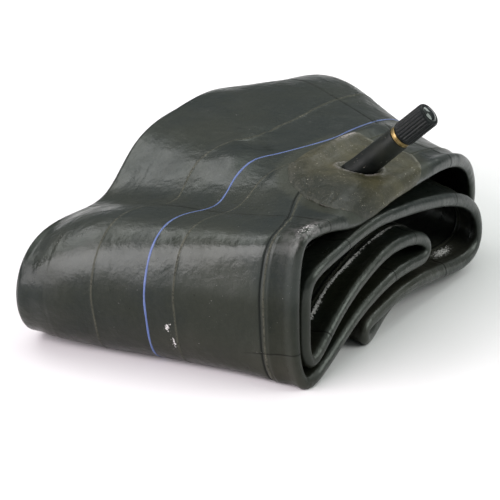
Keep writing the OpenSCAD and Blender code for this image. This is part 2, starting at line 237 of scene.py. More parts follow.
def grid_faces(rows, columns, close_rows=False, close_columns=False):
    """Quads between the points of a grid; closed ways wrap round."""
    faces = []
    for i in range(rows if close_rows else rows - 1):
        a, b = i * columns, (i + 1) % rows * columns
        for j in range(columns if close_columns else columns - 1):
            k = (j + 1) % columns
            faces.append((a + j, b + j, b + k, a + k))
    return faces


def slab_faces(rows, columns):
    """Faces of a closed slab between an upper grid of points and a lower one that follows it in the list."""
    n = rows * columns
    upper = grid_faces(rows, columns)
    lower = [tuple(n + k for k in reversed(face)) for face in upper]
    first, last = 0, (rows - 1) * columns
    ends = [(first + j, first + j + 1, n + first + j + 1, n + first + j) for j in range(columns - 1)]
    ends += [(last + j + 1, last + j, n + last + j, n + last + j + 1) for j in range(columns - 1)]
    sides = []
    for a in range(0, last, columns):
        b, c = a + columns, a + columns - 1
        sides += [(b, a, n + a, n + b), (c, c + columns, n + c + columns, n + c)]
    return upper + lower + ends + sides


def soften(corners, steps=4):
    """Profile through (radius, height, rounding) corners, each rounded off by that many millimetres."""
    profile = []
    for i, (radius, height, size) in enumerate(corners):
        here = np.array([radius, height], float)
        if size == 0:
            profile.append((radius, height))
            continue
        ends = []
        for other in (corners[i - 1], corners[(i + 1) % len(corners)]):
            way = np.array(other[:2], float) - here
            ends.append(here + way * size / np.linalg.norm(way))
        for t in np.linspace(0, 1, steps + 1):
            profile.append(tuple((1 - t) ** 2 * ends[0] + 2 * t * (1 - t) * here + t * t * ends[1]))
    return profile


def turned(name, profile, sides=96, closed=False):
    """Piece turned about the valve's axis from (radius, height) points in millimetres, up along its outside. It starts
    and ends on the axis, or closed joins its last point to its first. Radius and height may be functions of angle."""
    turns = np.arange(sides) * 2 * math.pi / sides
    points, rings, faces = [], [], []
    for radius, height in profile:
        at = len(points)
        if not callable(radius) and radius == 0:
            points.append((0, 0, height))
            rings.append([at] * sides)
            continue
        r = radius(turns) if callable(radius) else np.full(sides, float(radius))
        z = height(turns) if callable(height) else np.full(sides, float(height))
        points += list(zip(r * np.cos(turns), r * np.sin(turns), z))
        rings.append(list(range(at, at + sides)))
    for low, high in zip(rings, rings[1:] + (rings[:1] if closed else [])):
        for k in range(sides):
            j = (k + 1) % sides
            faces.append(tuple(dict.fromkeys((low[k], low[j], high[j], high[k]))))
    local = np.array(points, float)
    world = local * MM @ np.array(VALVE.to_3x3()).T + np.array(VALVE.translation)
    lathe = np.stack([np.hypot(local[:, 0], local[:, 1]), local[:, 2], 0 * local[:, 2]], -1)
    return add_mesh(name, world, faces, {"lathe": lathe})


# ---------------------------------------------------------------- the tube

# Distances from the rim edge of the lines that the mould leaves along the tube
BEAD, SEAM_NEAR, STRIPE_AT, SEAM_FAR = 15.8, 54, 67, 90.5
FAR_BEAD = LAY_FLAT - BEAD
# Rows at which fine vent lines cross the tube
VENTS = [2.3, 5.8, 9.6, 14.5, 19.6, 25.9, 30.6, 35.0, 41.7, 46.4, 51.2]


def slide(u, m):
    """How far the rubber's lines slide across, in mm, where the packet is squeezed behind the valve."""
    middle = ease(m, 8, 48) * ease(LAY_FLAT - m, 0, 40)
    swing = -18.5 * ease(u, 3, 7) * (1 - ease(u, 10.9, 13.4)) - 6 * bell((u - 14.4) / 0.8) * ease(m, 30, 90)
    round_valve = 15 * bell((u - 13.2) / 1.3) * bell((m - 18) / 16) * ease(m, 3, 14)
    return swing * middle + round_valve


def line_at(u, p):
    """The moulded line that lies p mm from the rim edge, found by undoing the slide."""
    m = p
    for _ in range(6):
        m = p - slide(u, m)
    return m


def line(distance, width):
    return bell(distance / width)


def half_thick(m):
    """Half the thickness of the flattened tube, which swells towards its lips, the rim's more than the tread's."""
    rim = (RIM_R - HALF) * bell(np.maximum(m - RIM_R, 0) / 3.2)
    return HALF + rim + (LIP_R - HALF) * bell(np.maximum(LAY_FLAT - m - LIP_R, 0) / 2.4)


def wander(u, m, seed):
    """Soft unevenness between -1 and 1, the same on every run."""
    a = np.sin(0.9 * u + 0.061 * m + 1.7 * seed) + np.sin(0.53 * u - 0.093 * m + 2.9 * seed)
    b = np.sin(1.7 * u + 0.037 * m + 4.1 * seed) + np.sin(1.31 * u - 0.157 * m + 0.7 * seed)
    return (a + 0.6 * b) / 3.2


def vent_distance(u, m):
    """Rows to the nearest vent line; the lines aren't quite square to the tube."""
    skew = 0.16 * np.sin(m / LAY_FLAT * 2.6)
    return np.min([np.abs(u - skew - v) for v in VENTS], axis=0)


def vent_strength(u, m):
    """The vent line low on the front shows only near the rim."""
    return 1 - 0.9 * bell((u - 19.6) / 0.5) * ease(m, 16, 28)


def patch_rows(ahead, p):
    """Rows that the patch reaches from the valve; in front of it, further along the rim than inside."""
    return PATCH_ROWS + np.where(ahead > 0, 0.5 * (1 - ease(p, 2, 38)), 0)


def patch_edge(u, p):
    """0 in the middle of the patch and 1 at its outline, p mm from the rim edge."""
    share = p / LAY_FLAT - VALVE_SHARE
    across = share / np.where(share < 0, PATCH_WRAP, PATCH_SHARE)
    return across**2 + np.abs((u - VALVE_ROW) / patch_rows(u - VALVE_ROW, p)) ** PATCH_BLUNT


def creases(u, p):
    """Height of the crest behind the valve and of the dents in the top layer, in mm."""
    crest_at = 41.5 + 7 * ease(u, 12.3, 13.1)
    crest = 3.1 * bell((p - crest_at) / np.where(p > crest_at, 3.2, 5.0)) * ease(u, 9.0, 10.3) * (1 - ease(u, 12.4, 13.7))
    hollow = -1.0 * bell((p - 30) / 6) * bell((u - 12.1) / 0.9)
    dent = -1.9 * bell((u - 12.1) / 0.3) * bell((p - 74) / 8) + 2.6 * bell((u - 12.75) / 0.42) * bell((p - 73) / 13)
    pull = 0.7 * bell((p - 86 + 14 * (u - 12)) / 3.5) * bell((u - 12.6) / 0.8)
    fold = -0.9 * bell((u - 11.55 - 0.02 * (p - 74)) / 0.09) * bell((p - 76) / 10)
    buckle = -0.6 * bell((u - 14.55) / 0.16) * ease(p, 74, 92) * (1 - ease(p, 104, 122))
    return crest + hollow + dent + pull + fold + buckle


def crater(u, p):
    """Depth in mm of the dip round the foot of the stem, about the place where the stem leaves the tube."""
    away = np.hypot((u - VALVE_ROW) * VALVE_ROW_LENGTH, p - VALVE_SHARE * LAY_FLAT)
    return -CRATER * bell(away / 8.2)


# Short creases in the top layer: row and distance from the rim of each end, height and half width in mm
CREASES = [(11.75, 80, 12.3, 60, -0.7, 1.3), (12.3, 78, 12.95, 63, 0.6, 1.6), (11.9, 67, 12.3, 58, -0.45, 0.8),
           (12.05, 70, 12.5, 58, -0.4, 0.7), (10.6, 74, 11.2, 66, -0.35, 0.9), (13.3, 104, 13.0, 84, 0.5, 1.8),
           (12.6, 40, 13.6, 22, -0.6, 1.6), (14.3, 30, 15.3, 12, 0.55, 1.5), (14.6, 20, 15.5, 6, -0.5, 1.2)]


def short_creases(u, p):
    total = np.zeros(np.shape(u))
    for u0, p0, u1, p1, height, width in CREASES:
        along = np.array([(u1 - u0) * VALVE_ROW_LENGTH, p1 - p0])
        span = np.hypot(*along)
        du, dp = (u - u0) * VALVE_ROW_LENGTH, p - p0
        t = (du * along[0] + dp * along[1]) / span**2
        off = (du * along[1] - dp * along[0]) / span
        total += height * bell(off / width) * ease(t, -0.2, 0.25) * (1 - ease(t, 0.75, 1.2))
    return total


def slump(u, p):
    """Slow rise and fall of the outer loop in mm: the hump's outline, the left corner and the belly of the front."""
    hump = 1.8 * bell((u - 11.0) / 0.7) * bell((p - 124) / 16) - 1.9 * bell((u - 9.5) / 0.6) * bell((p - 114) / 13)
    hump += 1.8 * bell((u - 8.7) / 0.5) * bell((p - 84) / 24)
    corner = -2.0 * bell((u - 16.2) / 0.7) * bell((p - 127) / 15)
    belly = 0.9 * bell((u - 17.9) / 0.6) * ease(p, 2, 20)
    wrinkle = bell((p - 5) / 5) * bell((u - 15.2) / 0.5) * (0.5 * np.sin(17 * u + 0.5 * p) + 0.3 * np.sin(31 * u - 0.9 * p))
    return hump + corner + belly + wrinkle


def relief(u, m, outer):
    """Height of the tube's moulded lines and unevenness in mm, on its outer or inner side."""
    lines = 0.32 * line(m - BEAD + 1.3, 0.55) - 0.38 * line(m - BEAD - 0.5, 0.5) + 0.22 * line(m - BEAD + 3.1, 0.6)
    lines += (0.06 if outer else 0.25) * (line(m - FAR_BEAD, 0.55) - line(m - FAR_BEAD - 1.6, 0.5))
    lines += (0.24 * line(m - SEAM_NEAR, 0.42) + 0.24 * line(m - SEAM_FAR, 0.42)) * (0.75 + 0.25 * wander(9 * u, m, 5))
    vents = -0.16 * line(vent_distance(u, m), 0.018) * vent_strength(u, m)
    near_lip = np.minimum(m, LAY_FLAT - m)
    pinch = -0.3 * bell((near_lip - 7) / 2.6)
    soft = (0.42 if outer else 0.28) * wander(u, m, 1 if outer else 3) * ease(near_lip, 4, 20)
    if not outer:
        return lines + vents + pinch + soft
    p = m + slide(u, m)
    clear_of_patch = ease(patch_edge(u, p), 0.8, 1.15)
    near_stripe = line(m - STRIPE_AT, 4.5)
    return ((lines + vents) * clear_of_patch + pinch + soft + creases(u, p) + short_creases(u, p) * (1 - near_stripe)
            + slump(u, p) + crater(u, p))


def talc(u, m):
    """Where talc lies thick, 0 to 1: handling marks, the bead of the inner fold and the inside of the back roll."""
    smudge = bell((u - 19.4) / 0.42) * bell((m - 56.6 + 1.5 * (u - 19.2)) / 0.9)
    smudge += 0.9 * bell((u - 18.95) / 0.12) * bell((m - 57.8) / 2.0) + 0.7 * bell((u - 19.15) / 0.3) * bell((m - 58.8) / 0.7)
    fold_bead = bell((u - 33.4) / 3.6) * bell((m - 12 - 0.9 * np.sin(2.1 * u)) / 0.85)
    back_roll = bell((u - 50.7) / 0.5) * bell((m - 10.5) / 3)
    scrape = 0.5 * bell((u - 17.0) / 0.35) * bell((m - 28.6) / 1.0) + 0.4 * bell((u - 16.4) / 0.4) * bell((m - 112) / 0.7)
    corner = 0.65 * bell((u - 15.4) / 0.55) * bell((m - 3.5) / 4)
    return np.clip(smudge + scrape + corner + 1.3 * fold_bead + back_roll, 0, 1)


def across_steps():
    """Distances across the width, closer together at the moulded lines."""
    ends = RIM_R, LAY_FLAT - LIP_R
    steps = set(np.round(np.linspace(*ends, 54), 2))
    for centre in (BEAD - 3.1, BEAD - 1.3, BEAD + 0.5, SEAM_NEAR, SEAM_FAR, FAR_BEAD, FAR_BEAD + 1.6):
        steps -= {s for s in steps if abs(s - centre) < 1.1 and ends[0] < s < ends[1]}
        steps |= {round(centre + d, 2) for d in (-1.0, -0.5, 0, 0.5, 1.0)}
    kept = []
    for s in sorted(steps):
        if not kept or s - kept[-1] > 0.24:
            kept.append(s)
    return np.array(kept)


def along_steps():
    """Rows along the tube, closer together at the vent lines."""
    steps = set(np.round(np.arange(0, ROWS, 0.1), 4))
    for v in VENTS:
        steps -= {s for s in steps if abs(s - v) < 0.2 and abs(s - v) > 0}
        steps |= {round(v + d, 4) for d in (-0.16, -0.12, -0.08, -0.05, -0.025, 0, 0.025, 0.05, 0.08, 0.12, 0.16)}
    return np.array(sorted(steps))


def build_tube():
    u = along_steps()
    outer = across_steps()
    inner = np.concatenate([outer[:-1:2], outer[-1:]])
    arc = np.linspace(0, math.pi, 11)[1:-1]
    # Once round the section: outer side, tread lip, inner side, rim lip
    tread, rim = LAY_FLAT - LIP_R + LIP_R * np.sin(arc), RIM_R - RIM_R * np.sin(arc)
    across = np.concatenate([outer, tread, inner[::-1], rim])
    lip_r = np.concatenate([0 * outer, 0 * arc + LIP_R, 0 * inner, 0 * arc + RIM_R])
    side = np.concatenate([0 * outer + 1, np.cos(arc), 0 * inner - 1, -np.cos(arc)])
    grid_u, grid_m = np.meshgrid(u, across, indexing="ij")
    grid_side = np.broadcast_to(side, grid_u.shape)
    height = np.where(grid_side > 0, relief(grid_u, grid_m, True), relief(grid_u, grid_m, False))
    h = np.where(lip_r > 0, lip_r * grid_side, np.sign(grid_side) * (half_thick(grid_m) + height))
    w = (grid_m + slide(grid_u, grid_m)) / LAY_FLAT
    under_patch = PATCH_SINK * (1 - ease(patch_edge(grid_u, w * LAY_FLAT), 0.7, 0.97))
    h = h + np.where(grid_side > 0, grid_side, 0) * (swell(grid_u, w) - under_patch)
    points = skin(grid_u, w, h)
    middle = skin(u, np.full(len(u), 0.5), np.zeros(len(u)))
    arc_length = np.concatenate([[0], np.cumsum(np.linalg.norm(np.diff(middle, axis=0), axis=1))]) / MM
    lay = np.stack([np.broadcast_to(arc_length[:, None], grid_u.shape), grid_m, grid_side], -1).reshape(-1, 3)
    outside = ease(grid_side, -0.2, 0.4)
    marks = {
        "lay": lay,
        "talc": (talc(grid_u, grid_m) * outside).ravel(),
        "vent": (line(vent_distance(grid_u, grid_m), 0.022) * vent_strength(grid_u, grid_m)).ravel(),
        "patch": (1 - ease(patch_edge(grid_u, w * LAY_FLAT), 1.0, 1.9)).ravel() * outside.ravel(),
        # Where the top front corner is worn; its pale colour is partly a painted sheen
        "worn": (bell((grid_u - 15.4) / 0.65) * bell((grid_m - 2) / 6) * outside).ravel(),
    }
    return add_mesh("inner_tube", points, grid_faces(len(u), len(across), True, True), marks)


def around_lip(u, p, h):
    """Point h above the tube's outer side, p mm from the rim edge; below the lip's radius it goes round the lip."""
    turn = np.maximum(0, (RIM_R - p) / RIM_R)
    flat_h = half_thick(p) + relief(u, line_at(u, p), True) + swell(u, p / LAY_FLAT) + h
    round_r = RIM_R + h + swell(u, p / LAY_FLAT) * np.cos(np.minimum(turn, math.pi / 2))
    across = np.where(turn > 0, RIM_R - round_r * np.sin(turn), p)
    height = np.where(turn > 0, round_r * np.cos(turn), flat_h)
    return skin(u, across / LAY_FLAT, height)


def build_patch():
    """Rubber pad vulcanised on the tube: feathered edge, and a raised lip round the foot of the stem."""
    a = np.sin(np.linspace(-1, 1, 121) * math.pi / 2) * PATCH_END
    b = np.sin(np.linspace(-1, 1, 97) * math.pi / 2)
    grid_a, grid_b = np.meshgrid(a, b, indexing="ij")
    reach = np.sqrt(1 - np.abs(grid_a) ** PATCH_BLUNT)
    p = (VALVE_SHARE + grid_b * reach * np.where(grid_b < 0, PATCH_WRAP, PATCH_SHARE)) * LAY_FLAT
    u = VALVE_ROW + grid_a * patch_rows(grid_a, p)
    uneven = 0.05 * wander(7 * u, 3 * p, 2)
    inside = ease(1 - patch_edge(u, p), 0, 0.3 + uneven)
    thick = PATCH_EDGE + (PATCH_THICK - PATCH_EDGE) * inside
    gap = from_axis(around_lip(u, p, thick))
    lip = 0.75 * bell((gap - 7.2) / 1.0) - 0.3 * bell((gap - 5.6) / 0.8)
    upper = around_lip(u, p, thick + lip * inside)
    lower = around_lip(u, p, np.full(u.shape, -2 * PATCH_SINK))
    marks = {
        "edge": np.tile(patch_edge(u, p).ravel(), 2),
        "gap": np.tile(gap.ravel(), 2),
        "rows": np.tile(u.ravel(), 2),
        # Where the highlight along the crest behind the collar is painted
        "crest": np.tile((bell((u - 11.05) / 0.4) * bell((p - 41.2) / 1.3)).ravel(), 2),
    }
    return add_mesh("valve_pad", np.stack([upper, lower]), slab_faces(len(a), len(b)), marks)


def build_stripe():
    """Line of coloured rubber along the middle of the tube, flush but for a hair."""
    u = np.arange(0, ROWS, 0.125)
    wide = 0.46 * (1 + 0.12 * np.sin(7.3 * u) + 0.08 * np.sin(19.1 * u + 1))
    corners = []
    for across, h in ((-1, -0.25), (-1, 0.03), (-0.5, 0.1), (0.5, 0.1), (1, 0.03), (1, -0.25)):
        m = STRIPE_AT + across * wide
        w = (m + slide(u, m)) / LAY_FLAT
        corners.append(skin(u, w, HALF + relief(u, m, True) + h + swell(u, w)))
    return add_mesh("blue_stripe", np.stack(corners, 1), grid_faces(len(u), len(corners), True, True))


# ---------------------------------------------------------------- the valve

# Heights along the valve's axis and radii in millimetres, as the CAD part has them
STEM_R, STEM_TOP = 5.25, 21.5
COLLAR_R, COLLAR_TOP = 4.9, 23.5
INSERT_R, INSERT_BASE, INSERT_TOP = 3.85, 7.0, 33.3
THREAD_PITCH, THREAD_DEPTH = 0.794, 0.42
SEAT_BASE, SEAT_TOP, LOWER_BORE_R, CORE_BORE_R = 19.6, 21.2, 2.05, 2.65
AIR_R = 1.5
FOOT_LEAN = math.radians(14)
CAP_R, CAP_BASE, CAP_TOP, CAP_RIBS, RIB_DEPTH = 5.4, 23.8, 39.4, 24, 0.36
DOME_R, DOME_H = 3.85, 1.1
GASKET_TOP, THREAD_CLEARANCE, CHAMBER_R = 34.4, 0.08, 2.95
SPRING_R, SPRING_WIRE, SPRING_TURNS = 0.98, 0.14, 6
SPRING_BASE, SPRING_TOP = 17.62, 24.43


def build_stem():
    """Rubber sleeve moulded over the brass, its foot following the lean of the tube's surface."""
    def on_tube(radius, height):
        lean = 1 - ease(np.array(height), -1.6, 5)
        return lambda turns: height + radius * np.cos(turns) * math.tan(FOOT_LEAN) * lean

    def not_quite_round(radius, height):
        return lambda turns: radius + 0.05 * np.sin(2 * turns + 0.3 * height) + 0.03 * np.sin(5 * turns + height)

    corners = [(5.7, -5.0, 0), (5.6, -2.6, 0.5), (5.36, -0.6, 0.7)]
    corners += [(STEM_R + 0.05 * math.exp(-h / 6), h, 0) for h in np.linspace(1, STEM_TOP - 1.4, 15)]
    corners += [(STEM_R - 0.02, STEM_TOP - 0.6, 0), (STEM_R - 0.08, STEM_TOP, 0.35), (INSERT_R + 0.12, STEM_TOP, 0.1)]
    profile = [(not_quite_round(r, h), on_tube(r, h)) for r, h in soften(corners)]
    inside = [(INSERT_R + 0.02, STEM_TOP - 0.5), (INSERT_R + 0.02, INSERT_BASE), (AIR_R, INSERT_BASE)]
    profile += inside + [(AIR_R, on_tube(AIR_R, -5.0))]
    return turned("rubber_stem", profile, 112, closed=True)


def build_insert():
    """Brass tube with its collar, the cap's thread cut as a true helix, and the bore with the seat of the core."""
    def thread(height):
        start, stop = COLLAR_TOP + 0.7, INSERT_TOP - 0.5
        depth = THREAD_DEPTH * ease(np.array(height), start, start + 0.5) * (1 - 0.6 * ease(np.array(height), stop, stop + 0.4))

        def radius(turns):
            phase = (height / THREAD_PITCH - turns / (2 * math.pi)) % 1
            valley = np.clip(1.25 * np.abs(2 * phase - 1) - 0.15, 0, 1)
            return INSERT_R - 0.02 - depth * (1 - valley)
        return radius

    outside = soften([(INSERT_R - 0.35, INSERT_BASE, 0), (INSERT_R - 0.02, INSERT_BASE + 0.35, 0),
                      (INSERT_R - 0.02, STEM_TOP + 0.02, 0), (COLLAR_R, STEM_TOP + 0.02, 0.22),
                      (COLLAR_R, COLLAR_TOP, 0.22), (INSERT_R - 0.3, COLLAR_TOP, 0.05)])
    outside += [(thread(h), h) for h in np.arange(COLLAR_TOP + 0.3, INSERT_TOP - 0.15, THREAD_PITCH / 10)]
    bore = [(INSERT_R - 0.75, INSERT_TOP, 0.1), (CORE_BORE_R + 0.3, INSERT_TOP, 0.05),
            (CORE_BORE_R, INSERT_TOP - 0.4, 0.05), (CORE_BORE_R, SEAT_TOP, 0.1), (LOWER_BORE_R, SEAT_BASE, 0.1),
            (LOWER_BORE_R, INSERT_BASE, 0)]
    return turned("brass_insert", outside + soften(bore, 2), 80, closed=True)


def build_cap():
    """Ribbed plastic cap: plain rim, grip ribs that run out on the shoulder, and a glossy dome in a shallow ring."""
    def ribbed(radius, height):
        fade = ease(np.array(height), CAP_BASE + 1.0, CAP_BASE + 1.5) * (1 - ease(np.array(height), CAP_TOP - 1.5, CAP_TOP - 0.1))

        def around(turns):
            wave = np.clip(1.3 * (0.5 + 0.5 * np.cos(CAP_RIBS * turns)) - 0.1, 0, 1)
            return radius - RIB_DEPTH * fade * (1 - wave)
        return around

    inside = soften([(CHAMBER_R, CAP_TOP - 1.3, 0.3), (CHAMBER_R, GASKET_TOP + 0.04, 0.05),
                     (INSERT_R + THREAD_CLEARANCE, GASKET_TOP + 0.04, 0.05),
                     (INSERT_R + THREAD_CLEARANCE, CAP_BASE + 0.4, 0.1), (INSERT_R + 0.4, CAP_BASE, 0.15)])
    rim = soften([(CAP_R - 0.3, CAP_BASE, 0.25), (CAP_R - 0.12, CAP_BASE + 0.9, 0.2)])
    body = [(CAP_R, h) for h in np.linspace(CAP_BASE + 1.0, CAP_TOP - 1.6, 34)]
    turn = np.linspace(0, math.pi / 2, 9)
    shoulder = [(CAP_R - 1.15 * (1 - math.cos(t)), CAP_TOP - 1.15 + 1.15 * math.sin(t)) for t in turn]
    ring = [(DOME_R + 0.16, CAP_TOP - 0.02), (DOME_R + 0.08, CAP_TOP - 0.26), (DOME_R - 0.02, CAP_TOP - 0.28)]
    sphere_r = (DOME_R**2 + DOME_H**2) / (2 * DOME_H)
    edge = math.asin(DOME_R / sphere_r)
    dome = [(sphere_r * math.sin(edge * t), CAP_TOP + DOME_H - sphere_r * (1 - math.cos(edge * t)))
            for t in np.linspace(0.985, 0.06, 12)]
    profile = [(0, CAP_TOP - 1.3)] + inside + rim
    profile += [(ribbed(r, h), h) for r, h in body + shoulder] + ring + dome + [(0, CAP_TOP + DOME_H)]
    return turned("ribbed_cap", profile, CAP_RIBS * 10)


def build_spring():
    """Coil of the valve core, its end turns laid close."""
    steps, sides = 28, 10
    t = np.linspace(0, 1, SPRING_TURNS * steps + 1)
    turn = 2 * math.pi * SPRING_TURNS * t
    low, high = SPRING_BASE + SPRING_WIRE, SPRING_TOP - SPRING_WIRE
    rise = np.interp(SPRING_TURNS * t, [0, 0.9, SPRING_TURNS - 0.9, SPRING_TURNS], [0, 0.28, high - low - 0.28, high - low])
    around = np.arange(sides) * 2 * math.pi / sides
    radius = SPRING_R + SPRING_WIRE * np.cos(around)[None, :]
    points = np.stack([radius * np.cos(turn)[:, None], radius * np.sin(turn)[:, None],
                       (low + rise)[:, None] + SPRING_WIRE * np.sin(around)[None, :]], -1)
    world = points * MM @ np.array(VALVE.to_3x3()).T + np.array(VALVE.translation)
    faces = grid_faces(len(t), sides, close_columns=True)
    last = (len(t) - 1) * sides
    faces += [tuple(range(sides - 1, -1, -1)), tuple(range(last, last + sides))]
    return add_mesh("coil_spring", world, faces)


# ---------------------------------------------------------------- node materials

class Paint:
    """A node material, built up socket by socket. Sizes are in millimetres."""

    def __init__(self, name):
        self.material = bpy.data.materials.new(name)
        self.material.use_nodes = True
        self.tree = self.material.node_tree
        self.tree.nodes.clear()
        self.surface = self.node("BsdfPrincipled")
        self.feed(self.node("OutputMaterial").inputs["Surface"], self.surface.outputs[0])
        self.place = self.node("TexCoord").outputs["Object"]

    def node(self, kind, **settings):
        made = self.tree.nodes.new("ShaderNode" + kind)
        for key, value in settings.items():
            setattr(made, key, value)
        return made

    def feed(self, socket, value):
        if isinstance(value, bpy.types.NodeSocket):
            self.tree.links.new(value, socket)
        elif isinstance(value, (tuple, list)) and len(value) == 3 and socket.type == "RGBA":
            socket.default_value = (*value, 1)
        else:
            socket.default_value = value

    def set(self, **values):
        for key, value in values.items():
            self.feed(self.surface.inputs[key.replace("_", " ")], value)

    def math(self, operation, a, b=0.0, clamp=False):
        made = self.node("Math", operation=operation, use_clamp=clamp)
        self.feed(made.inputs[0], a)
        self.feed(made.inputs[1], b)
        return made.outputs[0]

    def attribute(self, name, part=None):
        made = self.node("Attribute", attribute_name=name)
        if part is None:
            return made.outputs["Fac"]
        split = self.node("SeparateXYZ")
        self.feed(split.inputs[0], made.outputs["Vector"])
        return split.outputs[part]

    def stretch(self, vector, scale):
        made = self.node("VectorMath", operation="MULTIPLY")
        self.feed(made.inputs[0], vector)
        made.inputs[1].default_value = scale
        return made.outputs[0]

    def lay(self):
        return self.node("Attribute", attribute_name="lay").outputs["Vector"]

    def noise(self, size, detail=3.0, rough=0.55, vector=None, twist=0.0, unit=MM):
        made = self.node("TexNoise")
        self.feed(made.inputs["Vector"], vector if vector is not None else self.place)
        made.inputs["Scale"].default_value = 1 / (size * unit)
        made.inputs["Detail"].default_value = detail
        made.inputs["Roughness"].default_value = rough
        made.inputs["Distortion"].default_value = twist
        return made.outputs["Fac"]

    def band(self, value, low, high, to_low=0.0, to_high=1.0, smooth=True):
        made = self.node("MapRange", interpolation_type="SMOOTHSTEP" if smooth else "LINEAR")
        for key, number in (("From Min", low), ("From Max", high), ("To Min", to_low), ("To Max", to_high)):
            self.feed(made.inputs[key], number)
        self.feed(made.inputs["Value"], value)
        return made.outputs[0]

    def blend(self, factor, a, b):
        made = self.node("Mix", data_type="RGBA")
        self.feed(made.inputs["Factor"], factor)
        self.feed(made.inputs[6], a)
        self.feed(made.inputs[7], b)
        return made.outputs[2]

    def near(self, value, centre, width):
        """1 where value is at centre, falling to 0 at width from it."""
        gap = self.math("ABSOLUTE", self.math("SUBTRACT", value, centre))
        return self.band(gap, 0.0, width, 1.0, 0.0)

    def bump(self, height, depth, under=None):
        made = self.node("Bump")
        made.inputs["Strength"].default_value = 1
        made.inputs["Distance"].default_value = depth * MM
        self.feed(made.inputs["Height"], height)
        if under is not None:
            self.feed(made.inputs["Normal"], under)
        self.feed(self.surface.inputs["Normal"], made.outputs[0])
        return made.outputs[0]


def dusty_rubber(p, dark, light, size):
    """Clouded rubber colour with a fine mottle."""
    cloud = p.band(p.noise(size, 2), 0.35, 0.65)
    colour = p.blend(cloud, dark, light)
    mottled = p.band(p.noise(2.2, 4, 0.7), 0.4, 0.75)
    colour = p.blend(p.math("MULTIPLY", mottled, 0.35), colour, tuple(1.8 * c for c in light))
    return colour


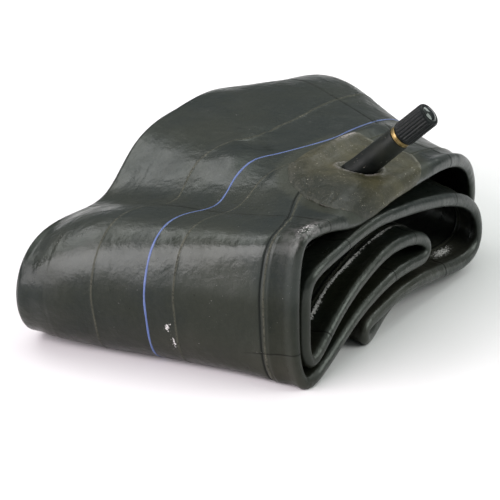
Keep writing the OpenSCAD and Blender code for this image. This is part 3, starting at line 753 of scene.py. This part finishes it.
def tube_rubber():
    """Grey-green butyl with a satin bloom, talc in its creases and along its moulded lines, scuffs and dark chips."""
    p = Paint("tube_rubber")
    across, side = p.attribute("lay", 1), p.attribute("lay", 2)
    outer = p.band(side, 0.0, 0.5)
    flat = p.lay()
    streak = p.noise(1, 3, vector=p.stretch(flat, (0.012, 0.28, 1)), unit=1)
    colour = dusty_rubber(p, (0.0052, 0.0075, 0.0066), (0.0108, 0.0122, 0.0078), 42)
    # Bloom and talc film
    bloom = p.math("MULTIPLY", p.band(p.noise(16, 4, 0.65), 0.42, 0.8), p.band(streak, 0.3, 0.75))
    colour = p.blend(p.math("MULTIPLY", bloom, 0.035), colour, (0.26, 0.25, 0.25))
    # Lighter and browner low on the front: painted reflection of the bright floor just in front of the packet
    split = p.node("SeparateXYZ")
    p.feed(split.inputs[0], p.place)
    low = p.math("MULTIPLY", p.band(split.outputs[2], 0.026, 0.004), outer)
    low = p.math("MULTIPLY", low, p.band(p.noise(24, 3), 0.3, 0.65, 0.35, 1.0))
    colour = p.blend(p.math("MULTIPLY", low, 0.6), colour, (0.036, 0.034, 0.026))
    # Buffed and dusted ring round the patch
    ragged = p.math("ADD", p.attribute("patch"), p.math("MULTIPLY", p.math("SUBTRACT", p.noise(4, 3), 0.5), 0.5))
    buffed = p.band(ragged, 0.2, 0.85)
    colour = p.blend(p.math("MULTIPLY", buffed, 0.85), colour, (0.0165, 0.018, 0.0105))
    # Moulded lines are matt: darker than the gloss round them, lighter than the shade, chipped dark and light
    chip = p.noise(1.1, 3, 0.7)
    seam = p.math("MAXIMUM", p.near(across, SEAM_NEAR + 0.2, 0.75), p.near(across, SEAM_FAR + 0.2, 0.75))
    seam = p.math("MULTIPLY", p.math("MAXIMUM", seam, p.near(across, BEAD - 1.2, 0.8)), outer)
    colour = p.blend(p.math("MULTIPLY", seam, 0.8), colour, (0.058, 0.06, 0.044))
    chipped = p.math("MULTIPLY", seam, p.band(chip, 0.47, 0.37))
    colour = p.blend(p.math("MULTIPLY", chipped, 0.85), colour, (0.003, 0.003, 0.003))
    dusted = p.math("MULTIPLY", p.math("MULTIPLY", seam, p.band(chip, 0.56, 0.64)), p.band(p.noise(20, 2), 0.45, 0.6))
    colour = p.blend(p.math("MULTIPLY", dusted, 0.6), colour, (0.19, 0.18, 0.14))
    # Painted shade: the groove beside the bead is coloured near black
    groove = p.math("MULTIPLY", p.near(across, BEAD + 0.6, 0.9), outer)
    colour = p.blend(p.math("MULTIPLY", groove, 0.8), colour, (0.002, 0.003, 0.003))
    # Painted shade: the fine vent grooves are coloured near black
    vent = p.attribute("vent")
    colour = p.blend(p.math("MULTIPLY", vent, 0.85), colour, (0.003, 0.003, 0.002))
    matt = p.math("MAXIMUM", p.math("MAXIMUM", seam, groove), vent)
    # Thick talc where the tube was handled and in the folds
    grains = p.band(p.math("ADD", p.noise(0.8, 2), p.math("MULTIPLY", p.attribute("talc"), 0.42)), 0.74, 0.86)
    talc_mark = p.math("MULTIPLY", p.band(p.attribute("talc"), 0.12, 0.4), grains)
    colour = p.blend(talc_mark, colour, (0.5, 0.5, 0.48))
    speck = p.math("MULTIPLY", p.band(p.noise(0.75, 1), 0.765, 0.8), p.band(p.noise(14, 2), 0.52, 0.66))
    colour = p.blend(speck, colour, (0.45, 0.45, 0.43))
    # Paler worn corner at the top front: partly talc and wear, partly a painted sheen on its rounded edge
    rubbed_and_sheen = p.math("MULTIPLY", p.attribute("worn"), p.band(p.noise(2.6, 4, 0.65), 0.42, 0.62))
    colour = p.blend(p.math("MULTIPLY", rubbed_and_sheen, 0.75), colour, (0.2, 0.19, 0.19))
    p.set(Base_Color=colour)
    rough = p.band(p.noise(9, 4, 0.6), 0.3, 0.75, 0.27, 0.4)
    rough = p.math("ADD", rough, p.math("MULTIPLY", buffed, 0.2))
    rough = p.math("ADD", rough, p.math("MULTIPLY", bloom, 0.08))
    rough = p.math("ADD", rough, p.math("MULTIPLY", talc_mark, 0.4))
    rough = p.math("ADD", rough, p.math("MULTIPLY", matt, 0.3), clamp=True)
    clean = p.math("MULTIPLY", p.band(split.outputs[1], -0.085, -0.098), p.band(split.outputs[2], 0.046, 0.032))
    gloss = p.band(clean, 0.0, 1.0, 0.48, 0.28)
    rim_strip = p.math("MULTIPLY", p.near(across, 9, 6), outer)
    p.set(Roughness=rough, Specular_IOR_Level=p.math("MULTIPLY", p.band(matt, 0.0, 1.0, gloss, 0.15),
                                                     p.band(rim_strip, 0.0, 0.6, 1.0, 0.55)))
    p.set(Specular_Tint=(0.89, 1.0, 0.92))
    fine = p.bump(p.noise(0.55, 3, 0.7), 0.03)
    wave = p.bump(p.noise(7, 3, 0.6), 0.5, p.bump(p.noise(28, 3, 0.5, twist=0.6), 1.1, fine))
    scored = p.bump(p.noise(1, 2, vector=p.stretch(flat, (0.05, 1.1, 1)), unit=1), 0.025, wave)
    p.bump(grains, 0.05, scored)
    return p.material


def stripe_rubber():
    p = Paint("stripe_rubber")
    worn = p.band(p.noise(2.5, 3, 0.7), 0.5, 0.8)
    colour = p.blend(p.noise(6, 2), (0.05, 0.085, 0.22), (0.085, 0.13, 0.29))
    p.set(Base_Color=p.blend(p.math("MULTIPLY", worn, 0.7), colour, (0.15, 0.18, 0.23)), Roughness=0.5)
    p.bump(p.noise(0.6, 3), 0.04)
    return p.material


def patch_rubber():
    """Olive-brown, grainy rubber: talc in its grain, greener and darker away from the stem, a pale line at its edge."""
    p = Paint("patch_rubber")
    edge, gap = p.attribute("edge"), p.attribute("gap")
    colour = p.blend(p.band(p.noise(9, 3), 0.35, 0.65), (0.027, 0.0265, 0.0115), (0.05, 0.047, 0.0225))
    away = p.band(p.attribute("rows"), VALVE_ROW + 0.15, VALVE_ROW + 1.2)
    colour = p.blend(p.math("MULTIPLY", away, 0.88), colour, (0.0065, 0.0095, 0.006))
    grain = p.band(p.noise(0.9, 3, 0.7), 0.5, 0.75)
    colour = p.blend(p.math("MULTIPLY", grain, 0.45), colour, (0.1, 0.095, 0.062))
    fleck = p.math("MULTIPLY", p.band(p.noise(0.7, 1), 0.68, 0.75), p.band(p.noise(6, 2), 0.45, 0.6))
    colour = p.blend(fleck, colour, (0.42, 0.4, 0.33))
    right_side = p.band(p.attribute("rows"), VALVE_ROW - 0.7, VALVE_ROW - 1.1)
    outline = p.math("MULTIPLY", p.band(edge, 0.82, 0.95), p.band(p.noise(3, 2), 0.35, 0.6))
    outline = p.math("MULTIPLY", outline, p.band(right_side, 0.0, 1.0, 0.12, 0.6))
    colour = p.blend(outline, colour, (0.15, 0.15, 0.12))
    # Pale grainy ring on the raised lip round the stem: a painted highlight, with dust
    lip_highlight_and_dust = p.math("MULTIPLY", p.near(gap, 7.2, 1.4), p.band(p.noise(1.6, 3), 0.35, 0.6))
    colour = p.blend(p.math("MULTIPLY", lip_highlight_and_dust, 0.4), colour, (0.3, 0.29, 0.28))
    # Pale grainy line along the crest behind the collar: a painted highlight, with talc
    crest_highlight_and_talc = p.math("MULTIPLY", p.attribute("crest"), p.band(p.noise(1.2, 3), 0.3, 0.55))
    colour = p.blend(p.math("MULTIPLY", crest_highlight_and_talc, 0.8), colour, (0.36, 0.34, 0.32))
    # Painted shade: a dark ring where the stem's foot sinks into the crater
    colour = p.blend(p.near(gap, 5.3, 1.0), colour, (0.006, 0.007, 0.006))
    p.set(Base_Color=colour, Roughness=p.band(p.noise(3, 3), 0.3, 0.7, 0.4, 0.56), Specular_IOR_Level=0.32)
    p.bump(p.noise(3, 3), 0.2, p.bump(p.noise(0.7, 3, 0.7), 0.09))
    return p.material


def stem_rubber():
    """Green-black rubber, darker towards its root with painted shade, with dust on the upper part and a few scuffs."""
    p = Paint("stem_rubber")
    height = p.attribute("lathe", 1)
    colour = dusty_rubber(p, (0.004, 0.0052, 0.0042), (0.0085, 0.0098, 0.007), 8)
    # Painted shade: darker towards the root, down in the crater
    colour = p.blend(p.band(height, 5, 15, 0.75, 0.0), colour, (0.002, 0.0028, 0.003))
    dust = p.math("MULTIPLY", p.band(p.noise(0.6, 1), 0.71, 0.77), p.band(p.noise(7, 2), 0.5, 0.6))
    colour = p.blend(dust, colour, (0.25, 0.24, 0.2))
    p.set(Base_Color=colour, Roughness=p.band(p.noise(4, 3), 0.3, 0.7, 0.42, 0.56), Specular_IOR_Level=0.16, Specular_Tint=(0.89, 1.0, 0.92))
    p.bump(p.noise(2.5, 2), 0.06, p.bump(p.noise(0.5, 3, 0.7), 0.03))
    return p.material


def brass(name="brass", light=(0.72, 0.5, 0.19), dull=(0.3, 0.19, 0.05)):
    """Turned brass with fine tool marks, gone dull and brown in patches."""
    p = Paint(name)
    tarnish = p.band(p.noise(2.2, 4, 0.65), 0.4, 0.66)
    marks = p.noise(0.5, 2, vector=p.stretch(p.place, (1.0, 0.6, 1.4)))
    p.set(Base_Color=p.blend(tarnish, light, dull), Metallic=1.0,
          Roughness=p.math("ADD", p.band(tarnish, 0.0, 1.0, 0.26, 0.42), p.math("MULTIPLY", marks, 0.1)))
    p.bump(marks, 0.012, p.bump(p.noise(0.16, 2), 0.006))
    return p.material


def turned_brass():
    """The insert's brass: tool marks run round it, and dirt lies in the thread."""
    p = Paint("turned_brass")
    radius = p.attribute("lathe", 0)
    rings = p.noise(1, 2, vector=p.stretch(p.node("Attribute", attribute_name="lathe").outputs["Vector"], (0.4, 7, 1)),
                    unit=1)
    tarnish = p.band(p.noise(2.4, 4, 0.65), 0.38, 0.66)
    colour = p.blend(tarnish, (0.26, 0.195, 0.082), (0.115, 0.086, 0.03))
    dirt = p.math("MULTIPLY", p.band(radius, INSERT_R - 0.12, INSERT_R - 0.36), p.band(p.noise(0.8, 2), 0.3, 0.6))
    colour = p.blend(p.math("MULTIPLY", dirt, 0.6), colour, (0.07, 0.05, 0.02))
    p.set(Base_Color=colour, Metallic=1.0,
          Roughness=p.math("ADD", p.band(tarnish, 0.0, 1.0, 0.34, 0.5), p.math("MULTIPLY", rings, 0.1)))
    p.bump(rings, 0.02)
    return p.material


def cap_plastic():
    """Black moulded plastic: satin ribs with dust between them, and a polished dome."""
    p = Paint("cap_plastic")
    radius, height = p.attribute("lathe", 0), p.attribute("lathe", 1)
    dome = p.math("MULTIPLY", p.band(radius, DOME_R - 0.05, DOME_R - 0.2), p.band(height, CAP_TOP - 0.5, CAP_TOP - 0.3))
    colour = p.blend(p.noise(3, 2), (0.004, 0.005, 0.0055), (0.0075, 0.0088, 0.009))
    groove = p.math("MULTIPLY", p.band(radius, CAP_R - 0.1, CAP_R - 0.34), p.band(height, CAP_TOP - 0.6, CAP_TOP - 1.4))
    dust = p.math("MULTIPLY", groove, p.band(p.noise(1.4, 3), 0.35, 0.65))
    colour = p.blend(p.math("MULTIPLY", dust, 0.35), colour, (0.05, 0.052, 0.045))
    scuff = p.math("MULTIPLY", p.band(p.noise(0.9, 3, 0.7), 0.55, 0.7), p.band(radius, CAP_R - 0.08, CAP_R - 0.01))
    colour = p.blend(p.math("MULTIPLY", scuff, 0.3), colour, (0.06, 0.06, 0.06))
    satin = p.band(p.noise(2, 3), 0.3, 0.7, 0.3, 0.42)
    p.set(Base_Color=colour, Roughness=p.band(dome, 0.0, 1.0, satin, 0.09))
    p.set(Specular_IOR_Level=p.band(dome, 0.0, 1.0, 0.14, 0.7), Specular_Tint=(0.89, 1.0, 0.94))
    p.bump(p.noise(0.5, 3), 0.012)
    return p.material


def soft_seal(name, dark, light, roughness):
    """Small moulded seal: even colour, faint grain and a little wear."""
    p = Paint(name)
    p.set(Base_Color=p.blend(p.noise(0.9, 3), dark, light), Roughness=p.band(p.noise(0.6, 3), 0.3, 0.7, *roughness))
    p.bump(p.noise(0.25, 3), 0.01)
    return p.material


def spring_steel():
    p = Paint("spring_steel")
    drawn = p.noise(0.2, 3, vector=p.stretch(p.place, (1, 1, 0.3)))
    p.set(Base_Color=p.blend(drawn, (0.42, 0.43, 0.44), (0.62, 0.62, 0.6)), Metallic=1.0,
          Roughness=p.band(drawn, 0.3, 0.7, 0.22, 0.36))
    p.bump(drawn, 0.004)
    return p.material


# ---------------------------------------------------------------- put together

def paint(piece, material):
    piece.data.materials.clear()
    piece.data.materials.append(material)


def place(piece, body, material, slot, *nodes):
    paint(piece, material)
    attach(piece, body)
    if nodes:
        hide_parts(*nodes)
    return piece


tube = place(build_tube(), "packet", tube_rubber(), "tube_rubber", "tube_body")
stripe = place(build_stripe(), "packet", stripe_rubber(), "stripe_rubber", "colour_stripe")
pad = place(build_patch(), "packet", patch_rubber(), "patch_rubber", "valve_patch")
stem = place(build_stem(), "packet", stem_rubber(), "stem_rubber", "valve_stem")
insert = place(build_insert(), "packet", turned_brass(), "brass", "stem_insert")
cap = place(build_cap(), "cap", cap_plastic(), "cap_plastic", "cap_shell")

spring = place(build_spring(), "core", spring_steel(), "spring_steel", "core_spring")
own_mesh(spring)

# The pieces of the valve core and the cap's gasket keep their CAD shapes
core_brass = brass("core_brass")
black_seal = soft_seal("black_seal", (0.008, 0.008, 0.008), (0.018, 0.018, 0.017), (0.5, 0.7))
red_seal = soft_seal("red_seal", (0.26, 0.02, 0.014), (0.38, 0.04, 0.025), (0.35, 0.5))
for node in ("core_plug", "core_barrel", "plunger_cup"):
    paint(frame["nodes"][node], core_brass)
paint(frame["nodes"]["core_pin"], brass("pin_brass", (0.78, 0.6, 0.28), (0.45, 0.32, 0.12)))
paint(frame["nodes"]["barrel_seal"], red_seal)
for node in ("plunger_seal", "cap_gasket"):
    paint(frame["nodes"][node], black_seal)


# ---------------------------------------------------------------- floor, light and camera

def pale_floor():
    p = Paint("pale_floor")
    p.set(Base_Color=p.blend(p.noise(300, 2), (0.75, 0.76, 0.755), (0.79, 0.8, 0.795)), Roughness=0.7)
    p.bump(p.noise(3, 3), 0.02)
    return p.material


def softbox(name, azimuth, elevation, distance, size, watts, colour):
    """Area light that faces the packet from a direction."""
    a, e = math.radians(azimuth), math.radians(elevation)
    back = Vector((math.sin(a) * math.cos(e), -math.cos(a) * math.cos(e), math.sin(e)))
    data = bpy.data.lights.new(name, "AREA")
    data.shape = "RECTANGLE"
    data.size, data.size_y = size
    data.energy = watts
    data.color = colour
    lamp = bpy.data.objects.new(name, data)
    lamp.location = Vector((0, 0, 0.04)) + back * distance
    lamp.rotation_mode = "QUATERNION"
    lamp.rotation_quaternion = (-back).to_track_quat("-Z", "Y")
    bpy.context.scene.collection.objects.link(lamp)


def studio():
    """Pale sky that is dim towards the horizon, as a room behind the camera is."""
    world = bpy.data.worlds.new("studio")
    bpy.context.scene.world = world
    world.use_nodes = True
    tree = world.node_tree
    tree.nodes.clear()
    new, link = tree.nodes.new, tree.links.new
    coordinates, split, ramp = new("ShaderNodeTexCoord"), new("ShaderNodeSeparateXYZ"), new("ShaderNodeValToRGB")
    link(coordinates.outputs["Generated"], split.inputs[0])
    link(split.outputs["Z"], ramp.inputs["Fac"])
    stops = ((0.0, (0.1, 0.12, 0.13)), (0.25, (0.21, 0.23, 0.23)), (0.6, (0.43, 0.45, 0.44)), (1.0, (0.6, 0.62, 0.61)))
    while len(ramp.color_ramp.elements) < len(stops):
        ramp.color_ramp.elements.new(0.5)
    for element, (at, colour) in zip(ramp.color_ramp.elements, stops):
        element.position = at
        element.color = (*colour, 1)
    light, out = new("ShaderNodeBackground"), new("ShaderNodeOutputWorld")
    link(ramp.outputs[0], light.inputs[0])
    light.inputs[1].default_value = 1
    link(light.outputs[0], out.inputs[0])


floor_mesh = bpy.data.meshes.new("floor")
FLOOR = 4
floor_mesh.from_pydata([(-FLOOR, -FLOOR, 0), (FLOOR, -FLOOR, 0), (FLOOR, FLOOR, 0), (-FLOOR, FLOOR, 0)], [],
                       [(0, 1, 2, 3)])
floor = bpy.data.objects.new("floor", floor_mesh)
bpy.context.scene.collection.objects.link(floor)
paint(floor, pale_floor())

studio()
softbox("key", -30, 25, 1.3, (1.3, 1.1), 28, (1.0, 0.88, 0.95))
softbox("side", -94, 47, 1.3, (0.9, 0.6), 5.4, (1.0, 0.95, 0.98))
softbox("top", 200, 68, 1.2, (0.9, 0.7), 2.5, (0.98, 1.0, 0.98))
softbox("back", 170, 38, 1.3, (0.6, 0.35), 2.6, (0.98, 1.0, 0.98))
softbox("right", 108, 30, 1.3, (0.9, 0.8), 9, (1.0, 1.0, 0.98))

# The camera stands far back with a long lens, at the height and side that the packet is looked at from
AZIMUTH, ELEVATION, DISTANCE = math.radians(28), math.radians(22), 4.0
FIELD = 0.20833
LOOK_AT = Vector((-0.02065, 0, 0.01017))
back = Vector((math.sin(AZIMUTH) * math.cos(ELEVATION), -math.cos(AZIMUTH) * math.cos(ELEVATION), math.sin(ELEVATION)))
camera_data = bpy.data.cameras.new("camera")
camera_data.lens = camera_data.sensor_width * DISTANCE / FIELD
camera_data.clip_end = 50
camera = bpy.data.objects.new("camera", camera_data)
camera.location = LOOK_AT + back * DISTANCE
camera.rotation_mode = "QUATERNION"
camera.rotation_quaternion = (-back).to_track_quat("-Z", "Y")
bpy.context.scene.collection.objects.link(camera)
bpy.context.scene.camera = camera
bpy.context.scene.view_settings.view_transform = "Standard"
